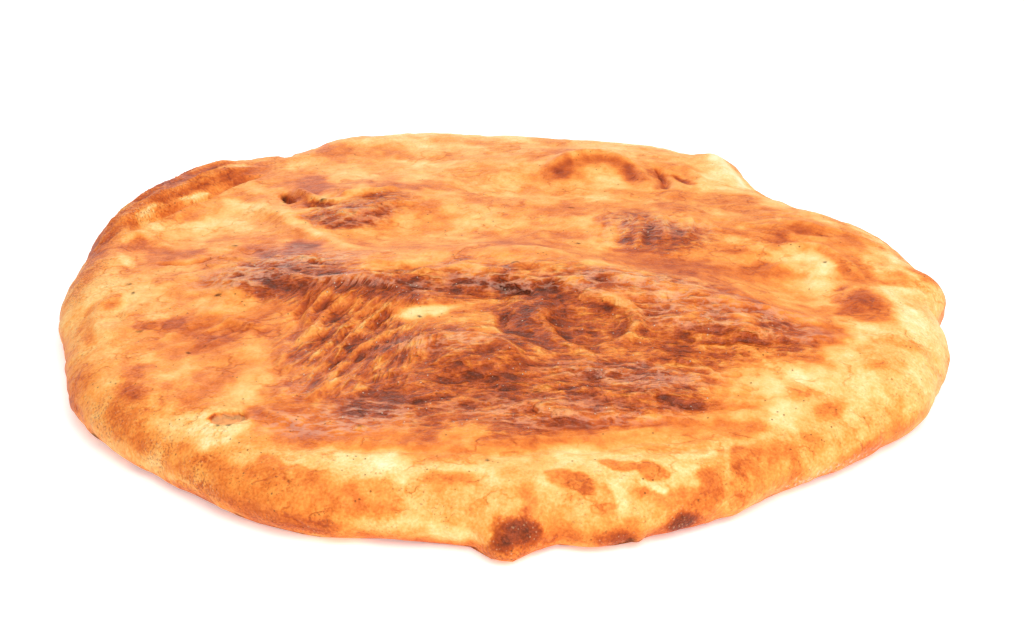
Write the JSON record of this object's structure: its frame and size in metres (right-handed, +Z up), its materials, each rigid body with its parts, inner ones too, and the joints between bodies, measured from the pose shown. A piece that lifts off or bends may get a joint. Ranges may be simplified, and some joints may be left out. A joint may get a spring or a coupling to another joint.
{
  "type": "flatbread",
  "caption": "Hand-shaped round flatbread, baked in one piece: a low domed crust with puffed folds and brown glazed patches, a rounded uneven rim and a flat base to rest on.",
  "frame": {"origin": "on the flat base at z = 0, under the middle of the bread's box in X and Y", "axes": "+Z up through the thickness, from the flat base to the domed crust; -Y towards the front edge, where the burnt bead of dough is; +X to the right as seen from the front"},
  "size_m": [0.2694, 0.2754, 0.0317],
  "materials": {
    "baked_crust": "egg-glazed baked crust: pale gold to dark brown, satin with glossier brown patches, dusted with flour at the foot"
  },
  "bodies": {
    "root": {"flatbread": "baked_crust"}
  },
  "joints": []
}
